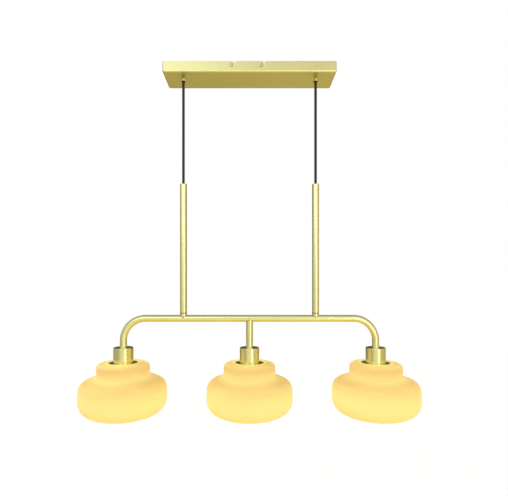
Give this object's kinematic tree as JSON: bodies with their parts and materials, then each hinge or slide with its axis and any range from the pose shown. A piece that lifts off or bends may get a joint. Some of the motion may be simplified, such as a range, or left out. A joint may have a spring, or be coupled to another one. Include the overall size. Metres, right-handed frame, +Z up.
{
  "type": "linear pendant lamp",
  "caption": "Linear ceiling pendant: folded brass canopy, textile cords, straight stems, a bent brass bar and squat amber opal glass shades that are open below.",
  "frame": {"origin": "centre of the ceiling bracket's upper face, midway between its two slotted screw holes", "axes": "+Z up towards the ceiling, +X along the bar to the viewer's right, -Y towards the viewer"},
  "size_m": [0.788, 0.2, 0.8043],
  "materials": {
    "satin_brass": "satin brass with fine brushing, clear lacquered",
    "zinc_steel": "zinc-plated steel",
    "raw_brass": "turned brass, uncoated",
    "black_plastic": "black moulded thermoplastic",
    "white_plastic": "natural polyamide",
    "black_textile": "braided black textile over cable",
    "wire_insulation": "flexible wire insulation",
    "clear_silicone": "soft translucent silicone",
    "amber_opal_glass": "satin amber opal glass",
    "opal_diffuser": "satin white diffuser",
    "nickel_cap": "nickel-plated screw cap"
  },
  "bodies": {
    "bracket": {"ceiling_bracket": "zinc_steel", "canopy_screws": "raw_brass"},
    "canopy": {"canopy": "satin_brass", "ferrule_nuts": "zinc_steel", "grip_screws": "zinc_steel", "terminal_block": "white_plastic", "terminal_screws": "raw_brass", "terminal_nuts": "zinc_steel", "ferrule_left": "satin_brass", "ferrule_right": "satin_brass", "cord_grip_left": "black_plastic", "cord_grip_right": "black_plastic", "cord_tail_left": "black_textile", "cord_tail_right": "black_textile", "feed_wires_left": "wire_insulation", "feed_wires_right": "wire_insulation"},
    "pendant": {"bar": "satin_brass", "bush_screws": "zinc_steel", "stem_nipples": "raw_brass", "holder_nipples": "raw_brass", "cord_left": "black_textile", "cord_right": "black_textile", "stem_bush_left": "satin_brass", "stem_bush_right": "satin_brass", "stem_left": "satin_brass", "stem_right": "satin_brass", "cup_left": "satin_brass", "cup_centre": "satin_brass", "cup_right": "satin_brass", "lampholder_left": "black_plastic", "lampholder_centre": "black_plastic", "lampholder_right": "black_plastic", "screw_shell_left": "raw_brass", "screw_shell_centre": "raw_brass", "screw_shell_right": "raw_brass", "centre_contact_left": "raw_brass", "centre_contact_centre": "raw_brass", "centre_contact_right": "raw_brass", "lamp_lead_left": "wire_insulation", "lamp_lead_centre": "wire_insulation", "lamp_lead_right": "wire_insulation", "shade_carrier_left": "satin_brass", "shade_carrier_centre": "satin_brass", "shade_carrier_right": "satin_brass", "shade_gasket_left": "clear_silicone", "shade_gasket_centre": "clear_silicone", "shade_gasket_right": "clear_silicone", "shade_ring_left": "black_plastic", "shade_ring_centre": "black_plastic", "shade_ring_right": "black_plastic", "shade_left": "amber_opal_glass", "shade_centre": "amber_opal_glass", "shade_right": "amber_opal_glass"},
    "bulb_left": {"bulb_globe_left": "opal_diffuser", "bulb_cap_left": "nickel_cap"},
    "bulb_centre": {"bulb_globe_centre": "opal_diffuser", "bulb_cap_centre": "nickel_cap"},
    "bulb_right": {"bulb_globe_right": "opal_diffuser", "bulb_cap_right": "nickel_cap"}
  },
  "joints": [
    {"name": "canopy_slide", "type": "slide", "parent": "bracket", "child": "canopy", "axis": [-1, 0, 0], "range_m": [0, 0.007]},
    {"name": "pendant_swing", "type": "hinge", "parent": "canopy", "child": "pendant", "pos_m": [0, 0, -0.0265], "axis": [1, 0, 0], "range_deg": [-20, 20]},
    {"name": "bulb_left_turn", "type": "hinge", "parent": "pendant", "child": "bulb_left", "pos_m": [-0.294, 0, -0.694], "axis": [0, 0, 1], "range_deg": [-900, 0]},
    {"name": "bulb_centre_turn", "type": "hinge", "parent": "pendant", "child": "bulb_centre", "pos_m": [0, 0, -0.694], "axis": [0, 0, 1], "range_deg": [-900, 0]},
    {"name": "bulb_right_turn", "type": "hinge", "parent": "pendant", "child": "bulb_right", "pos_m": [0.294, 0, -0.694], "axis": [0, 0, 1], "range_deg": [-900, 0]}
  ]
}
